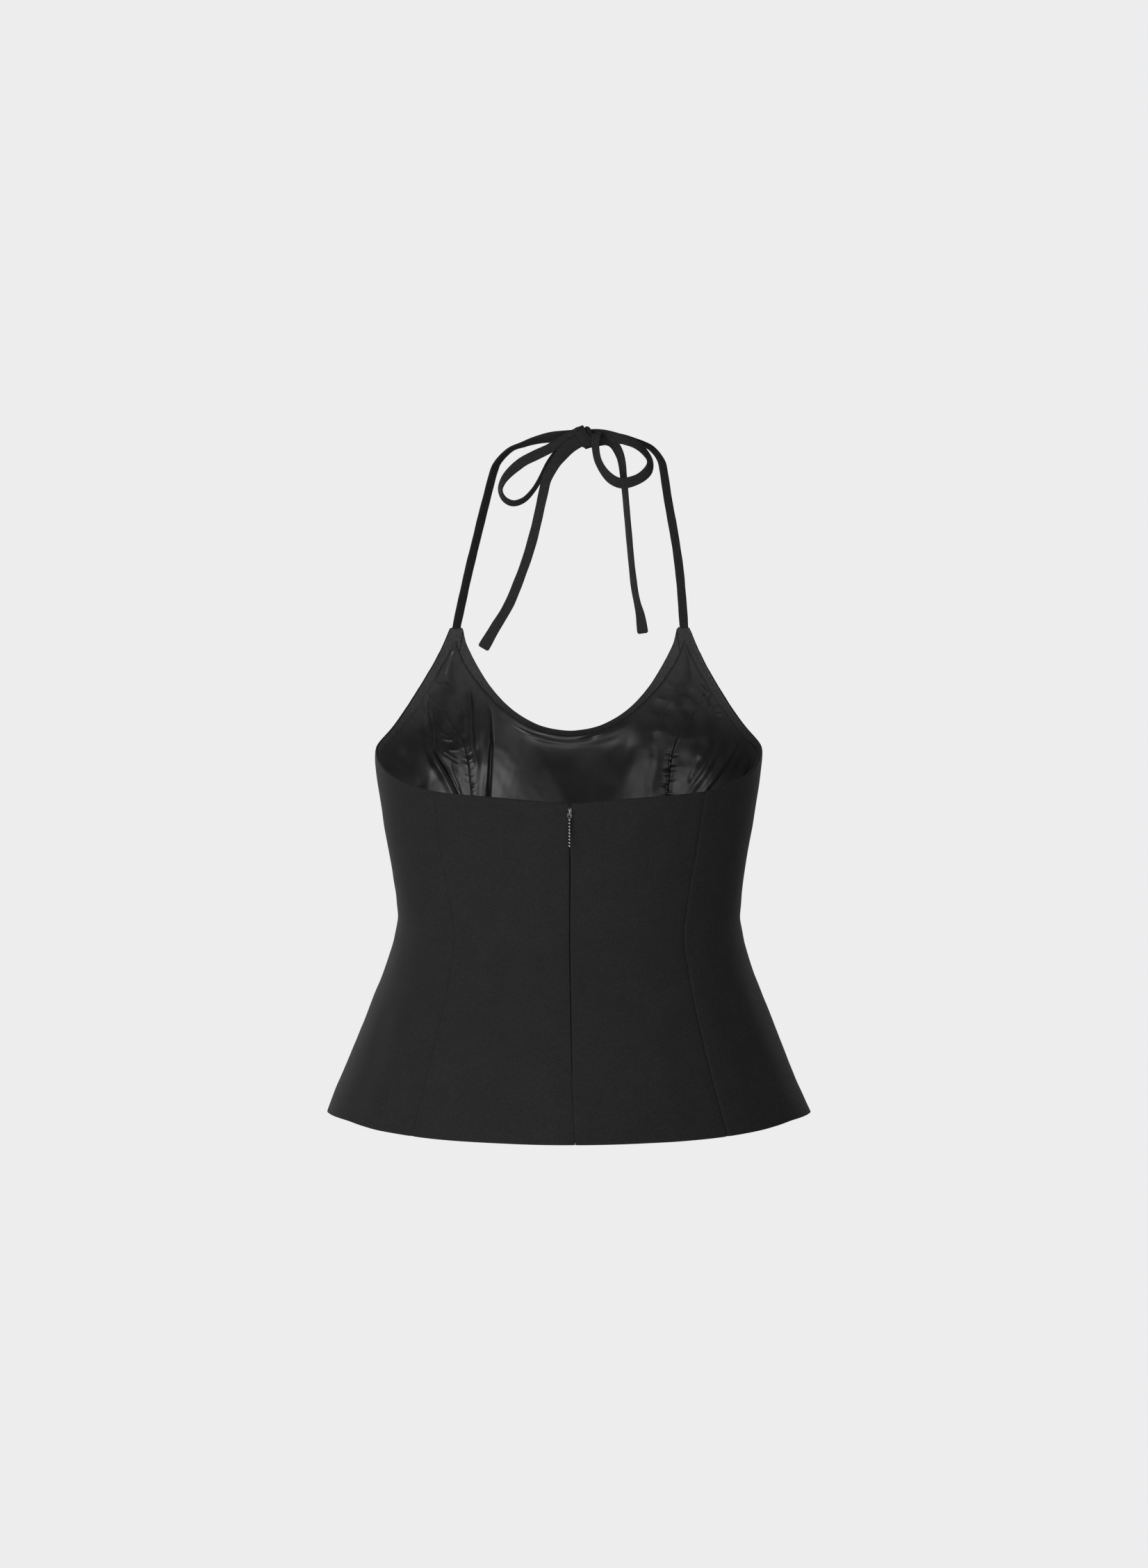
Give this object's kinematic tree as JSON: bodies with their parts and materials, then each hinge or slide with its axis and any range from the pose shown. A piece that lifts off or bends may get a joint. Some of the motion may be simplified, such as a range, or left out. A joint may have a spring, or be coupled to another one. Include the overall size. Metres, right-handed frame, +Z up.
{
  "type": "halter neck top",
  "caption": "Fitted sleeveless halter top with princess seams, a low back, a satin lining, a back zip with a beaded pull, and narrow neck ties in a bow.",
  "frame": {"origin": "inner face of the neck strap at the nape, where the worn top is held up", "axes": "+Z up, +Y towards the wearer's front, +X towards the wearer's right; the back with the zip faces -Y"},
  "size_m": [0.4032, 0.2709, 0.5699],
  "materials": {
    "outer_cloth": "matte black crepe",
    "lining_satin": "black satin with a soft sheen",
    "tape_weave": "matte black woven tape",
    "zip_metal": "polished gunmetal"
  },
  "bodies": {
    "garment": {"back_centre_left": "outer_cloth", "back_centre_right": "outer_cloth", "back_side_left": "outer_cloth", "back_side_right": "outer_cloth", "front_side_left": "outer_cloth", "front_side_right": "outer_cloth", "front_centre": "outer_cloth", "lining_back_left": "lining_satin", "lining_back_right": "lining_satin", "lining_front_side_left": "lining_satin", "lining_front_side_right": "lining_satin", "lining_front_centre": "lining_satin", "facing_armhole_left": "outer_cloth", "facing_armhole_right": "outer_cloth", "facing_neckline": "outer_cloth", "strap_left": "outer_cloth", "strap_right": "outer_cloth", "bow_loop_left": "outer_cloth", "bow_loop_right": "outer_cloth", "tie_tail_left": "outer_cloth", "tie_tail_right": "outer_cloth", "knot": "outer_cloth", "zip_tape_left": "tape_weave", "zip_tape_right": "tape_weave", "zip_slider": "zip_metal"},
    "zip_pull": {"zip_pull": "zip_metal"}
  },
  "joints": [
    {"name": "pull_swing", "type": "hinge", "parent": "garment", "child": "zip_pull", "pos_m": [0, -0.0385, -0.299], "axis": [-1, 0, 0], "range_deg": [0, 150]}
  ]
}
